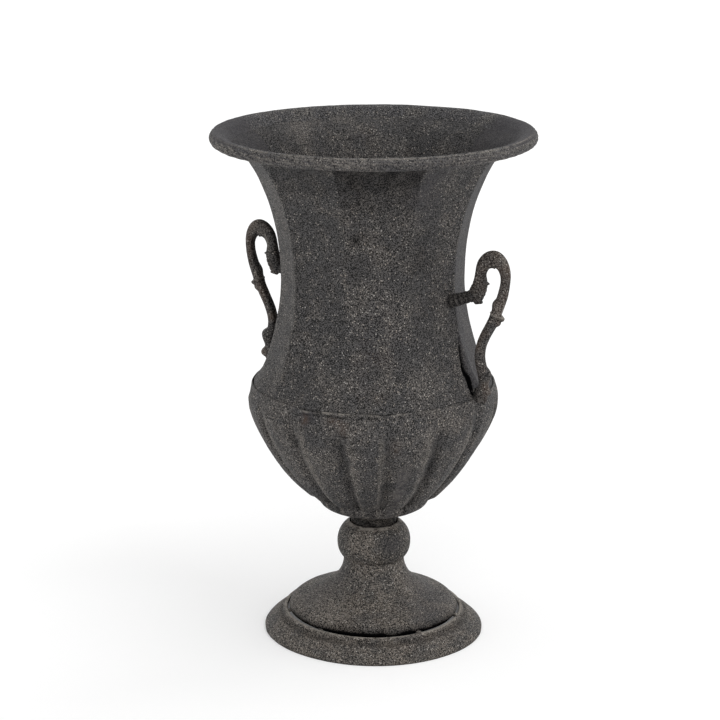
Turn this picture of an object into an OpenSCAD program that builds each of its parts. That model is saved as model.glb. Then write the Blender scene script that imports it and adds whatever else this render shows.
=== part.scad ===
// Two-handled garden urn in sheet iron: a ten-sided flared neck with a rope rim,
// a bowl with sixteen lobes, a knop, a bell foot and a stepped base ring.
// Millimetres, +Z up. The origin is on the floor under the middle of the base ring.
// The handles lie in the XZ plane, one on each side of the axis.

/* [Sheet metal] */
// Thickness of every sheet shell
sheet = 1.5; // [1:0.1:2]
// Gap left between two pieces that seat on each other
seat_gap = 0.3; // [0.2:0.05:0.4]

/* [Base ring] */
// Outside diameter of the base ring on the floor
ring_d = 244; // [236:1:270]
// Height of the bead around the ring's mouth
ring_h = 23; // [20:0.5:28]
// Height of the upright edge that stands on the floor
ring_edge_h = 2.5; // [2:0.5:4]
// Width of the bead around the mouth
ring_bead_w = 4.5; // [4:0.5:6]
// Step from the bead down to the sloping skirt
ring_step_h = 5.5; // [4:0.5:7]

/* [Bell foot] */
// Outside diameter of the bell's lower edge
bell_d = 188; // [180:1:194]
// Height of the bell from its lower edge to its flat top
bell_h = 61.5; // [57:0.5:66]
// How far the bell's lower edge sits below the ring's bead
bell_sink = 2; // [1.5:0.5:4]
// Outside diameter of the bell's flat top
bell_top_d = 67; // [62:1:72]
// Outside diameter where the stem of the bell turns into the dome
bell_flare_d = 100; // [94:1:108]
// Height of that turn above the lower edge
bell_flare_h = 31.5; // [28:0.5:34]
// Radial gap between the bell and the ring's mouth, bridged by the tacks
tack_gap = 1.5; // [1:0.1:2.5]
// Width of a tack weld
tack_w = 5; // [3:0.5:8]

/* [Knop and collar] */
// Largest outside diameter of the knop
knop_d = 80.8; // [74:0.2:90]
// Height of the knop
knop_h = 41.5; // [38:0.5:48]
// Height of the knop's widest line above its floor
knop_belly_h = 17.5; // [14:0.5:22]
// Outside diameter of the lip round the knop's open top
knop_lip_d = 55; // [54:0.5:62]
// Outside diameter of the collar that stands in the knop
collar_d = 50; // [44:0.5:50]
// Length of the collar between the knop's floor and the bowl
collar_h = 52.5; // [48:0.5:60]

/* [Bowl] */
// Height of the bowl from its flat bottom to its mouth
bowl_h = 149; // [140:1:160]
// Largest outside diameter of the bowl
bowl_d = 272.4; // [268:0.2:284]
// Height of the widest line below the mouth
bowl_belly_drop = 19; // [16:0.5:24]
// Number of lobes around the bowl
lobes = 16; // [12:1:18]
// Angle from the handle to the nearest lobe ridge
lobe_turn = 6.4; // [0:0.2:11]
// Depth of the grooves between the lobes at their lower end
lobe_depth = 8; // [3:0.5:10]
// Diameter across the lower ends of the lobes
lobe_end_d = 144; // [140:1:150]
// Height of the lower ends of the lobes above the flat bottom
lobe_end_h = 24; // [21:0.5:27]
// Diameter of the dish under the lobes
dish_d = 123; // [112:1:128]
// Height of the dish
dish_h = 19; // [17:0.5:20]
// Diameter of the flat bottom of the dish
dish_flat_d = 54; // [52:1:64]

/* [Neck] */
// Height of the neck from the bowl's mouth to its own mouth
neck_h = 267; // [250:1:285]
// Outside diameter of the neck where it enters the bowl
neck_foot_d = 260; // [254:1:264]
// Outside diameter over the corners at the waist
waist_d = 197.8; // [190:0.2:206]
// Height of the waist above the bowl's mouth
waist_h = 111; // [104:1:118]
// Outside diameter over the corners where the flare turns outward
flare_d = 240.4; // [232:0.2:248]
// Depth of that turn below the neck's mouth
flare_drop = 45; // [40:1:52]
// Length of the neck's skirt inside the bowl
skirt_h = 8; // [5:0.5:12]
// Width in degrees of the six wide faces, the four narrow ones share the rest
wide_face = 38.6; // [36:0.2:40]
// Angle from the handle to the nearest corner between two faces
face_turn = 3.4; // [0:0.2:8]

/* [Rope rim] */
// Outside diameter over the rope rim
rim_d = 350; // [340:1:366]
// Thickness of the rope
rope_d = 15; // [12:0.5:18]
// Height of the rope's middle above the neck's mouth
rope_rise = 2.5; // [0:0.5:4]
// Number of strand crossings around the rim
rope_turns = 58; // [40:2:70]
// Depth of the grooves between the strands
rope_groove = 1; // [0.6:0.1:1.6]

/* [Handles] */
// Thickness of the handle's round stem
stem_d = 10; // [9:0.5:12]
// Height of the crown's centre line above the bowl's mouth
crown_h = 153.8; // [146:0.2:160]
// How far the crown stands out from the neck's foot
crown_out = 20.5; // [17:0.5:24]
// How far the outermost bend stands out from the neck's foot
hook_out = 33.5; // [29:0.5:36]
// Height of that bend above the bowl's mouth
hook_h = 134.6; // [130:0.2:138]
// Height of the tip of the head above the bowl's mouth
head_h = 102.6; // [100:0.2:106]
// How far the head's back stands out from the waist
head_out = 34.5; // [32:0.5:37]
// Height of the leaf on the stem above the bowl's mouth
leaf_h = 89.4; // [84:0.2:94]
// Height of the stem's innermost bend above the bowl's mouth
stem_in_h = 47; // [43:1:52]
// How far that bend stands out from the neck's foot
stem_out = 3.9; // [3:0.1:6]
// Length of the leaf
leaf_l = 11; // [9:0.5:13]
// Radius of the two buds above the foot of the stem
bud_r = 5.5; // [4.5:0.1:6.5]
// Diameter of the peg between the wall and the handle's head
peg_d = 11; // [10:0.5:13]
// Slope of the peg above the horizontal
peg_slope = 20; // [12:1:24]
// Depth of the peg's seat in the head
peg_seat = 2.5; // [1.5:0.5:4]
// Diameter of the screws that hold the handles
screw_d = 5; // [4:0.5:6]
// Diameter of the saddle washers inside the neck
saddle_d = 16; // [13:0.5:20]
// Thickness of the saddle washers
saddle_t = 3; // [2.5:0.5:4]
// Height of the foot screws above the bowl's mouth
foot_screw_h = 6.5; // [6:0.5:8]
// Diameter of the flat washers on the foot screws
foot_washer_d = 12; // [11:0.5:12.5]
// Thickness of those washers
foot_washer_t = 1.2; // [0.8:0.1:1.6]
// Length of screw held in the handle's foot
foot_grip = 12; // [9:0.5:13]
// Length of screw held in the handle's head
peg_grip = 7; // [5:0.5:8]
// Height of the screw heads
screw_head_h = 3; // [2:0.5:4]

/* [Tie rod] */
// Diameter of the rod that clamps bowl, collar, knop and foot together
rod_d = 8; // [6:0.5:8]
// Clearance of the holes for the rod and the screws
hole_gap = 1; // [0.4:0.1:1.2]
// Clearance of the peg and the screws in the handle, and of the nuts on the rod
fit_gap = 0.2; // [0.1:0.05:0.4]
// Diameter of the washers on the rod
washer_d = 40; // [24:1:44]
// Thickness of those washers
washer_t = 3; // [2:0.5:4]
// Distance across the flats of the nuts
nut_af = 13; // [12:0.5:15]
// Height of the nuts
nut_h = 6.5; // [5:0.5:8]
// Length of rod that stands out past each nut
rod_end = 4; // [2:0.5:8]

/* [Hidden] */

iron = "#3a3835";
handle_iron = "#463c33";
steel = "#8a8d90";
round_fn = 120;
small_fn = 48;
lump_fn = 12;

// Levels, from the floor up
bell_z = ring_h - bell_sink;
bell_top_z = bell_z + bell_h;
knop_floor_z = bell_top_z + sheet;
knop_top_z = bell_top_z + knop_h;
bowl_z = knop_floor_z + collar_h;
bowl_floor_z = bowl_z + sheet;
seam_z = bowl_z + bowl_h;
mouth_z = seam_z + neck_h;
rope_z = mouth_z + rope_rise;

// How far a cut reaches past the solid that it opens
cut = 1;

// Radii that follow from a neighbour
ring_mouth_r = bell_d / 2 + tack_gap;
bowl_mouth_r = neck_foot_d / 2 + seat_gap + sheet;
rope_path_r = (rim_d - rope_d) / 2;
mouth_r = rope_path_r - rope_d / 2 - seat_gap;

// A curve from a to b. Each pull gives its handle as shares of the span in radius and in height.
function bend(a, b, pull_a, pull_b, steps) = let (
    span = b - a,
    c = [a[0] + pull_a[0] * span[0], a[1] + pull_a[1] * span[1]],
    d = [b[0] - pull_b[0] * span[0], b[1] - pull_b[1] * span[1]]
) [for (i = [0:steps]) let (t = i / steps, s = 1 - t)
    s * s * s * a + 3 * s * s * t * c + 3 * s * t * t * d + t * t * t * b];
function but_first(list) = [for (i = [1:len(list) - 1]) list[i]];
function reversed(list) = [for (i = [len(list) - 1:-1:0]) list[i]];
function ease(t) = let (u = min(1, max(0, t))) u * u * (3 - 2 * u);

// The sheet lies to the left of an outline that runs from its first point to its last
function to_left(line, i) = let (
    step = line[min(i + 1, len(line) - 1)] - line[max(i - 1, 0)]
) [-step[1], step[0]] / norm(step);
function inner_face(line, wall) = [for (i = [0:len(line) - 1]) line[i] + wall * to_left(line, i)];
module spun_sheet(line) {
    rotate_extrude($fn = round_fn) polygon(concat(line, reversed(inner_face(line, sheet))));
}

// Outlines as [radius, height]
rod_hole_r = (rod_d + hole_gap) / 2;
bead_round = 0.27 * ring_bead_w;
bead_side = 0.33 * ring_bead_w;
bead_rise = 0.5 * ring_step_h;
ring_skirt_r = ring_mouth_r + ring_bead_w + 0.55 * ring_bead_w;
ring_line = concat(
    [[ring_d / 2, 0]],
    bend([ring_d / 2, ring_edge_h], [ring_skirt_r, ring_h - ring_step_h - sheet], [0.2, 0.32], [0.18, 0.32], 6),
    [[ring_skirt_r - bead_side / 4, ring_h - ring_step_h]],
    bend([ring_skirt_r - bead_side, ring_h - bead_rise], [ring_mouth_r + bead_round, ring_h], [0, 0.6], [0.6, 0], 4),
    [[ring_mouth_r, ring_h - bead_round], [ring_mouth_r, bell_z]]
);
bell_turn = [bell_flare_d / 2, bell_z + bell_flare_h];
bell_edge = [bell_d / 2, ring_h];
bell_line = concat(
    [[bell_d / 2, bell_z]],
    reversed(concat(
        bend([bell_top_d / 2, bell_top_z], bell_turn, [0.22, 0.58], [0.76, 0.18], 10),
        but_first(bend(bell_turn, bell_edge, [0.36, 0.24], [0.05, 0.4], 10))
    )),
    [[rod_hole_r, bell_top_z]]
);
knop_belly = [knop_d / 2, bell_top_z + knop_belly_h];
knop_line = concat(
    [[rod_hole_r, bell_top_z]],
    bend([bell_top_d / 2 + seat_gap, bell_top_z], knop_belly, [0.62, 0.28], [0, 0.45], 8),
    but_first(bend(knop_belly, [knop_lip_d / 2, knop_top_z], [0, 0.42], [0.67, 0.21], 10))
);
neck_waist = [waist_d / 2, seam_z + waist_h];
neck_turn = [flare_d / 2, mouth_z - flare_drop];
neck_line = concat(
    [[neck_foot_d / 2, seam_z - skirt_h]],
    bend([neck_foot_d / 2, seam_z], neck_waist, [0.44, 0.17], [0.05, 0.4], 7),
    but_first(bend(neck_waist, neck_turn, [0, 0.36], [0.77, 0.32], 4)),
    but_first(bend(neck_turn, [mouth_r, mouth_z], [0.15, 0.31], [0.53, 0.2], 5))
);
lobe_round = lobe_end_h * [0.167, 0.108];
bowl_belly = [bowl_d / 2, seam_z - bowl_belly_drop];
lobe_end = [lobe_end_d / 2, bowl_z + lobe_end_h];
bowl_line = concat(
    bend([dish_flat_d / 2, bowl_z], [dish_d / 2, bowl_z + dish_h], [0.87, 0.22], [0, 0.4], 3),
    [lobe_end - lobe_round],
    reversed(concat(
        bend([bowl_mouth_r, seam_z], bowl_belly, [0.45, 0.26], [0, 0.37], 2),
        but_first(bend(bowl_belly, lobe_end, [0.01, 0.24], [0.56, 0.31], 7))
    ))
);

// The plan of the neck is a ten-sided figure that turns into a circle at both ends
narrow_face = (180 - 3 * wide_face) / 2;
face_starts = [for (half = [0, 180], k = [0:4])
    half + face_turn + min(k, 2) * narrow_face + max(k - 2, 0) * wide_face];
face_widths = [for (half = [0, 1], k = [0:4]) k < 2 ? narrow_face : wide_face];
face_steps = 4;
face_fade_low = 0.127 * neck_h;
face_fade_high = 0.36 * flare_drop;
function faceted(z) = ease((z - seam_z) / face_fade_low)
    * (1 - ease((z - mouth_z + face_fade_high) / face_fade_high));
function neck_ring(p, share) = [for (f = [0:9], k = [0:face_steps - 1]) let (
    off = (k / face_steps - 0.5) * face_widths[f],
    turn = face_starts[f] + face_widths[f] / 2 + off,
    flat_r = p[0] * cos(face_widths[f] / 2) / cos(off),
    r = p[0] + share * (flat_r - p[0])
) [r * cos(turn), r * sin(turn), p[1]]];

// The lobes deepen from nothing at the bowl's mouth to their full depth at the lower end
lobe_steps = 6;
lobe_start_z = bowl_belly[1] + 0.74 * bowl_belly_drop;
bowl_sides = lobes * lobe_steps;
function lobe_share(z) = z < lobe_end[1] - 1
    ? max(0, (z - bowl_z - dish_h) / (lobe_end_h - dish_h))
    : pow(max(0, (lobe_start_z - z) / (lobe_start_z - lobe_end[1])), 0.8);
// Each lobe is a rounded ridge, and it meets the next one in a sharp groove
function from_ridge(k) = let (half = lobe_steps / 2) (half - abs(k % lobe_steps - half)) / half;
function bowl_ring(p, z_out) = [for (k = [0:bowl_sides - 1]) let (
    turn = lobe_turn + k * 360 / bowl_sides,
    r = p[0] - lobe_share(z_out) * lobe_depth * pow(from_ridge(k), 2)
) [r * cos(turn), r * sin(turn), p[1]]];

// Faces of a skin made of rings, each ring with the same number of points
function quad(a, b, c, d) = [[a, b, c], [a, c, d]];
function skin(first, rings, sides, out) = [for (i = [0:rings - 2], k = [0:sides - 1]) let (
    a = first + i * sides + k,
    b = first + i * sides + (k + 1) % sides
) each out ? quad(a, a + sides, b + sides, b) : quad(a, b, b + sides, a + sides)];
function band(outer, inner, sides, up) = [for (k = [0:sides - 1]) let (
    n = (k + 1) % sides
) each up ? quad(outer + k, inner + k, inner + n, outer + n) : quad(outer + k, outer + n, inner + n, inner + k)];
function fan(middle, first, sides, up) = [for (k = [0:sides - 1]) let (
    n = (k + 1) % sides
) up ? [middle, first + n, first + k] : [middle, first + k, first + n]];

// A tube along a path in the XZ plane. Each knot is [x, z, half width in the plane, half width across].
module swept(path, sides) {
    count = len(path);
    rings = [for (i = [0:count - 1]) let (
        p = path[i],
        side = to_left([for (q = path) [q[0], q[1]]], i)
    ) for (k = [0:sides - 1]) let (turn = k * 360 / sides) [
        p[0] + side[0] * p[2] * cos(turn),
        p[3] * sin(turn),
        p[1] + side[1] * p[2] * cos(turn)
    ]];
    first = [path[0][0], 0, path[0][1]];
    last = [path[count - 1][0], 0, path[count - 1][1]];
    polyhedron(concat(rings, [first, last]), concat(
        skin(0, count, sides, false),
        fan(count * sides, 0, sides, true),
        fan(count * sides + 1, (count - 1) * sides, sides, false)
    ));
}

module neck_shell() {
    inner_line = inner_face(neck_line, sheet);
    count = len(neck_line);
    sides = 10 * face_steps;
    outer = [for (i = [0:count - 1]) each neck_ring(neck_line[i], faceted(neck_line[i][1]))];
    inner = [for (i = [0:count - 1]) each neck_ring(inner_line[i], faceted(neck_line[i][1]))];
    color(iron) difference() {
        polyhedron(concat(outer, inner), concat(
            skin(0, count, sides, true),
            skin(count * sides, count, sides, false),
            band(0, count * sides, sides, false),
            band((count - 1) * sides, (2 * count - 1) * sides, sides, true)
        ));
        both_handles() {
            peg_drill(screw_d + hole_gap);
            foot_drill(screw_d + hole_gap);
        }
    }
}

// Twisted cord with six strands: each ring turns on by one side of its twelve-sided section
module rim_rope() {
    sides = 12;
    rings = rope_turns * 2;
    points = [for (i = [0:rings - 1], k = [0:sides - 1]) let (
        turn = i * 360 / rings,
        around = k * 360 / sides,
        r = rope_d / 2 - ((k + i) % 2) * rope_groove
    ) [
        (rope_path_r + r * cos(around)) * cos(turn),
        (rope_path_r + r * cos(around)) * sin(turn),
        rope_z + r * sin(around)
    ]];
    faces = [for (i = [0:rings - 1], k = [0:sides - 1]) let (
        next = (i + 1) % rings,
        n = (k + 1) % sides,
        after = (k + 2) % sides
    ) each quad(i * sides + k, i * sides + n, next * sides + after, next * sides + n)];
    color(iron) polyhedron(points, faces);
}

module bowl_shell() {
    inner_line = inner_face(bowl_line, sheet);
    count = len(bowl_line);
    outer = [for (i = [0:count - 1]) each bowl_ring(bowl_line[i], bowl_line[i][1])];
    inner = [for (i = [0:count - 1]) each bowl_ring(inner_line[i], bowl_line[i][1])];
    middles = [[0, 0, bowl_z], [0, 0, inner_line[0][1]]];
    total = 2 * count * bowl_sides;
    color(iron) difference() {
        polyhedron(concat(outer, inner, middles), concat(
            skin(0, count, bowl_sides, true),
            skin(count * bowl_sides, count, bowl_sides, false),
            band((count - 1) * bowl_sides, (2 * count - 1) * bowl_sides, bowl_sides, true),
            fan(total, 0, bowl_sides, false),
            fan(total + 1, count * bowl_sides, bowl_sides, true)
        ));
        translate([0, 0, bowl_z - cut]) cylinder(h = sheet + 2 * cut, r = rod_hole_r, $fn = small_fn);
    }
}

module bowl_collar() {
    color(iron) translate([0, 0, knop_floor_z]) difference() {
        cylinder(h = collar_h, d = collar_d, $fn = round_fn);
        translate([0, 0, -cut]) cylinder(h = collar_h + 2 * cut, d = collar_d - 2 * sheet, $fn = round_fn);
    }
}

module knop() {
    color(iron) spun_sheet(knop_line);
}

module bell_foot() {
    color(iron) spun_sheet(bell_line);
}

module base_ring() {
    color(iron) spun_sheet(ring_line);
}

// Tack welds between the bell's edge and the ring's mouth, in two unequal pairs on each side
tack_turns = [-138, -95, -26, 15];
tack_h = 0.86 * bell_sink;
tack_reach = 3 * tack_gap;
module bell_tacks() {
    color(iron) for (turn = tack_turns, half = [0, 180]) rotate(turn + half) intersection() {
        translate([0, 0, bell_z]) difference() {
            cylinder(h = tack_h, r = ring_mouth_r, $fn = round_fn);
            translate([0, 0, -cut]) cylinder(h = tack_h + 2 * cut, d = bell_d, $fn = round_fn);
        }
        translate([bell_d / 2 - tack_reach, -tack_w / 2, 0]) cube([2 * tack_reach, tack_w, bell_z + tack_h]);
    }
}

// The head of the handle keeps its place from the waist, the rest from the neck's foot
stem_r = stem_d / 2;
head_lean = 1.14 * stem_r;
stem_bulge = 0.98 * stem_r;
foot_depth = 0.4 * stem_r;
function from_seam(out, up) = [neck_foot_d / 2 + out, seam_z + up];
head_tip = [waist_d / 2 + head_out - head_lean, seam_z + head_h];
head_back = [waist_d / 2 + head_out, seam_z + 0.98 * hook_h];
crown = from_seam(crown_out, crown_h);
hook = from_seam(hook_out, hook_h);
leaf = from_seam(0.61 * hook_out, leaf_h);
stem_in = from_seam(stem_out, stem_in_h);
stem_low = from_seam(stem_out + stem_bulge, 0.4 * stem_in_h);
stem_end = from_seam(0.92 * stem_out, -foot_depth);
// The peg meets the head a little above its tip, on the side towards the neck
head_point = head_tip + stem_r * [-0.54, 1.78];
peg_dir = [cos(peg_slope), sin(peg_slope)];
function neck_r(z) = lookup(z, [for (p = neck_line) [p[1], p[0]]]);
wall_z = head_point[1] - (head_point[0] - waist_d / 2) * tan(peg_slope);
wall_r = neck_r(wall_z);
wall_lean = (neck_r(wall_z + peg_d) - neck_r(wall_z - peg_d)) / (2 * peg_d);
peg_seat_point = head_point + peg_seat * peg_dir;
// The foot screws stand square to the neck's shoulder
foot_z = seam_z + foot_screw_h;
foot_slope = atan((neck_r(foot_z - 1) - neck_r(foot_z + 1)) / 2);
foot_point = [neck_r(foot_z), foot_z];

module both_handles() {
    for (half = [0, 180]) rotate(half) children();
}
// Puts its children on a line in the XZ plane, from a point and at a slope, with +Z along the line
module along(point, slope) {
    translate([point[0], 0, point[1]]) rotate([0, 90 - slope, 0]) children();
}
// Holes along a peg and along a foot screw, from inside the neck to the end of the screw
module peg_drill(d) {
    from = peg_reach + saddle_t;
    along(peg_seat_point, peg_slope) translate([0, 0, -from])
        cylinder(h = from + peg_grip, d = d, $fn = small_fn);
}
module foot_drill(d) {
    from = 4 * sheet + foot_washer_t;
    along(foot_point, foot_slope) translate([0, 0, -from])
        cylinder(h = from + foot_grip, d = d, $fn = small_fn);
}
// The neck as a plain leaning solid, larger than the sheet's outside by grow, for cutting seats at the wall
module neck_core(grow) {
    corner = wall_r + grow / cos(wide_face / 2);
    low = corner - wall_lean * saddle_d;
    high = corner + wall_lean * saddle_d;
    translate([0, 0, wall_z - saddle_d]) linear_extrude(2 * saddle_d, scale = high / low)
        polygon([for (turn = face_starts) low * [cos(turn), sin(turn)]]);
}
module shoulder_core(grow) {
    shoulder = [for (p = neck_line) if (p[1] < neck_waist[1]) p + [grow, 0]];
    rotate_extrude($fn = round_fn)
        polygon(concat([[0, seam_z - skirt_h]], shoulder, [[0, shoulder[len(shoulder) - 1][1]]]));
}

handle_path = concat(
    bend(head_tip, head_back, [0.35, 0.3], [0, 0.35], 6),
    but_first(bend(head_back, crown, [0, 0.55], [0.55, 0], 6)),
    but_first(bend(crown, hook, [0.5, 0], [0, 0.5], 6)),
    but_first(bend(hook, leaf, [0, 0.33], [0.36, 0.28], 6)),
    but_first(bend(leaf, stem_in, [0.36, 0.32], [0, 0.4], 6)),
    but_first(bend(stem_in, stem_low, [0, 0.35], [0.05, 0.4], 6)),
    but_first(bend(stem_low, stem_end, [0, 0.35], [0.35, 0.3], 6))
);
// Where the handle swells: [place along the path in bends, reach, more in its plane, more across], the last two
// as shares of the stem's radius
handle_swells = [
    [0, 0.3, -0.52, -0.44], [0.62, 0.44, 0.38, 0.28], [2, 1.1, 0.64, 0.1], [4, 0.3, 0.3, 0.22],
    [5.6, 0.8, 0.32, 0.24], [7, 1, 0.92, 0.48]
];
function swell(place, s) = let (u = min(1, abs(place - s[0]) / s[1])) pow(1 - u * u, 2) * stem_r * [s[2], s[3]];
function half_widths(place) = let (more = [for (s = handle_swells) swell(place, s)])
    [stem_r, stem_r] + [for (m = more) 1] * more;

bud_places = [[0.85, 2.5], [0.85, -1.2]];

module handle() {
    steps = 6;
    knots = [for (i = [0:len(handle_path) - 1]) let (w = half_widths(i / steps)) concat(handle_path[i], w)];
    difference() {
        union() {
            swept(knots, 10);
            leaf_spur();
            for (place = bud_places) bud(stem_low + bud_r * place);
        }
        shoulder_core(seat_gap);
        translate([0, -stem_d, seam_z - stem_d]) cube([rim_d / 2, 2 * stem_d, stem_d + seat_gap]);
        along(peg_seat_point, peg_slope) translate([0, 0, -peg_d])
            cylinder(h = peg_d, d = peg_d + fit_gap, $fn = small_fn);
        peg_drill(screw_d + fit_gap);
        foot_drill(screw_d + fit_gap);
    }
}
// Small leaf on the outside of the stem, at its tip as thin as the sheet
module leaf_spur() {
    hull() {
        translate([leaf[0], 0, leaf[1]]) sphere(d = stem_d, $fn = lump_fn);
        translate([leaf[0] - 0.3 * leaf_l, 0, leaf[1] - 0.8 * leaf_l]) sphere(d = 0.8 * stem_d, $fn = lump_fn);
        translate([leaf[0] + 0.84 * leaf_l, 0, leaf[1] + 0.2 * leaf_l]) sphere(d = 2 * sheet, $fn = lump_fn);
    }
}
// Round lump on the outside of the stem
module bud(place) {
    translate([place[0], 0, place[1]]) rotate([90, 0, 8]) hull() {
        sphere(r = bud_r, $fn = lump_fn);
        translate([-bud_r / 2, 0, 0]) sphere(r = bud_r, $fn = lump_fn);
    }
}

module handle_right() {
    color(handle_iron) handle();
}

module handle_left() {
    color(handle_iron) rotate(180) handle();
}

module handle_pegs() {
    length = peg_reach + peg_d;
    color(handle_iron) both_handles() difference() {
        along(peg_seat_point, peg_slope) translate([0, 0, -length])
            cylinder(h = length, d = peg_d, $fn = small_fn);
        neck_core(seat_gap);
        peg_drill(screw_d + hole_gap);
    }
}

// Distance along the peg from its seat in the head to the far side of the saddle washer
peg_reach = (peg_seat_point[0] - wall_r + sheet) / cos(peg_slope) + saddle_t;
module peg_screws() {
    color(steel) both_handles() along(peg_seat_point, peg_slope) {
        translate([0, 0, -peg_reach]) cylinder(h = peg_reach + peg_grip - cut, d = screw_d, $fn = small_fn);
        translate([0, 0, -peg_reach - screw_head_h])
            cylinder(h = screw_head_h, d = 2 * screw_d, $fn = small_fn);
    }
}

module peg_washers() {
    color(steel) both_handles() difference() {
        intersection() {
            along(peg_seat_point, peg_slope) translate([0, 0, -peg_reach])
                cylinder(h = saddle_d, d = saddle_d, $fn = small_fn);
            neck_core(-sheet - seat_gap);
        }
        peg_drill(screw_d + hole_gap);
    }
}

module foot_screws() {
    head_from = sheet + 2 * seat_gap + foot_washer_t;
    color(steel) both_handles() along(foot_point, foot_slope) {
        translate([0, 0, -head_from]) cylinder(h = head_from + foot_grip - cut, d = screw_d, $fn = small_fn);
        translate([0, 0, -head_from - screw_head_h])
            cylinder(h = screw_head_h, d = 2 * screw_d, $fn = small_fn);
    }
}

module foot_washers() {
    color(steel) both_handles() along(foot_point, foot_slope) difference() {
        translate([0, 0, -sheet - 2 * seat_gap - foot_washer_t])
            cylinder(h = foot_washer_t, d = foot_washer_d, $fn = small_fn);
        translate([0, 0, -foot_washer_d]) cylinder(h = foot_washer_d, d = screw_d + hole_gap, $fn = small_fn);
    }
}

// The rod and what clamps it
bowl_washer_z = bowl_floor_z;
bell_washer_z = bell_top_z - sheet - washer_t;
module plate(z, d, h) {
    translate([0, 0, z]) difference() {
        cylinder(h = h, d = d, $fn = small_fn);
        translate([0, 0, -cut]) cylinder(h = h + 2 * cut, r = rod_hole_r, $fn = small_fn);
    }
}
module nut(z) {
    translate([0, 0, z]) difference() {
        cylinder(h = nut_h, d = nut_af / cos(30), $fn = 6);
        translate([0, 0, -cut]) cylinder(h = nut_h + 2 * cut, d = rod_d + fit_gap, $fn = small_fn);
    }
}

module tie_rod() {
    low = bell_washer_z - nut_h - rod_end;
    high = bowl_washer_z + washer_t + nut_h + rod_end;
    color(steel) translate([0, 0, low]) cylinder(h = high - low, d = rod_d, $fn = small_fn);
}

module bowl_washer() {
    color(steel) plate(bowl_washer_z, washer_d, washer_t);
}

module bowl_nut() {
    color(steel) nut(bowl_washer_z + washer_t);
}

module bell_washer() {
    color(steel) plate(bell_washer_z, washer_d, washer_t);
}

module bell_nut() {
    color(steel) nut(bell_washer_z - nut_h);
}

neck_shell();
rim_rope();
bowl_shell();
bowl_collar();
knop();
bell_foot();
base_ring();
bell_tacks();
handle_right();
handle_left();
handle_pegs();
peg_screws();
peg_washers();
foot_screws();
foot_washers();
tie_rod();
bowl_washer();
bowl_nut();
bell_washer();
bell_nut();
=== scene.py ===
"""Two-handled garden urn in dark sanded iron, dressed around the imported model. Metres, +Z up."""

import math

import bpy
import numpy as np
from mathutils import Matrix, Vector


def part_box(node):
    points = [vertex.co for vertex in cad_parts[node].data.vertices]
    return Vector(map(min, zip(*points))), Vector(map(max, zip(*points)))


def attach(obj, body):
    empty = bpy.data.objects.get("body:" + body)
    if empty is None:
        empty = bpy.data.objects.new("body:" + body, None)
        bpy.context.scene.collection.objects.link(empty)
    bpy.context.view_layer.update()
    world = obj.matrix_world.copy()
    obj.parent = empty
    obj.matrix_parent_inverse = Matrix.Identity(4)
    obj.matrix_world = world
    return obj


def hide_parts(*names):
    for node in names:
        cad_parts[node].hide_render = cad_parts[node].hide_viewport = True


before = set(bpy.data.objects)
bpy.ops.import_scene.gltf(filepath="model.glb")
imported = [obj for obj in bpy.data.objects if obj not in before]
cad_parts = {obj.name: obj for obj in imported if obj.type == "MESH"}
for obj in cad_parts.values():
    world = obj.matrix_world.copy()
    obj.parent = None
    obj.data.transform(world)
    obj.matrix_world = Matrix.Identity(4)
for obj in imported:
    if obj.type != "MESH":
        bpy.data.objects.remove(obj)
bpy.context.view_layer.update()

# Camera: it looks at the urn from between the handles, from above and a little to one side
CAMERA_TURN = 33.0
FRONT_TURN = CAMERA_TURN - 90
CAMERA_DISTANCE = 2.4153
CAMERA_HEIGHT = 0.9790
CAMERA_PITCH = 15.528
CAMERA_YAW = -0.354
CAMERA_ROLL = -0.148
LENS_MM = 115.05
SENSOR_MM = 36.0

# Sheet shells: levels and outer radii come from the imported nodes
SHEET = 0.0015
BELL_LOW, BELL_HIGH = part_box("bell_foot")
KNOP_LOW, KNOP_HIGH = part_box("knop")
RING_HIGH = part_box("base_ring")[1]
COLLAR_LOW, COLLAR_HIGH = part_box("bowl_collar")
BOWL_LOW, BOWL_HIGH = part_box("bowl_shell")
ROPE_LOW, ROPE_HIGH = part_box("rim_rope")
SEAM_Z = BOWL_HIGH.z
NECK_HEIGHT = 0.267
MOUTH_Z = SEAM_Z + NECK_HEIGHT
ROD_HOLE_R = 0.0045

# Neck
NECK_FOOT_R = 0.130
NECK_SKIRT = 0.008
WAIST_R, WAIST_UP = 0.0989, 0.111
FLARE_R, FLARE_DROP = 0.1202, 0.045
MOUTH_R = 0.1597
WIDE_FACE, FACE_TURN = 38.6, 3.4
FADE_LOW, FADE_HIGH = 0.034, 0.015

# Bowl
BELLY_R, BELLY_DROP = 0.1362, 0.019
LOBES, LOBE_TURN, LOBE_DEPTH = 16, 6.4, 0.008
LOBE_END_R, LOBE_END_UP = 0.072, 0.024
DISH_R, DISH_UP, DISH_FLAT_R = 0.0615, 0.019, 0.027

# Foot
BELL_TOP_R = 0.0335
BELL_TURN_R, BELL_TURN_UP = 0.050, 0.0315
TACK_GAP, BEAD_W, STEP_H = 0.0015, 0.0045, 0.0055
TACK_TURNS, TACK_REACH = (-138, -95, -26, 15), (0.0026, 0.0034, 0.0020)
KNOP_BELLY_UP, KNOP_LIP_R = 0.0175, 0.0275

# Rope
ROPE_R, ROPE_TURNS, ROPE_STRANDS, ROPE_GROOVE = 0.0075, 58, 6, 0.0011
LIP_REACH = 0.014

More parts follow.
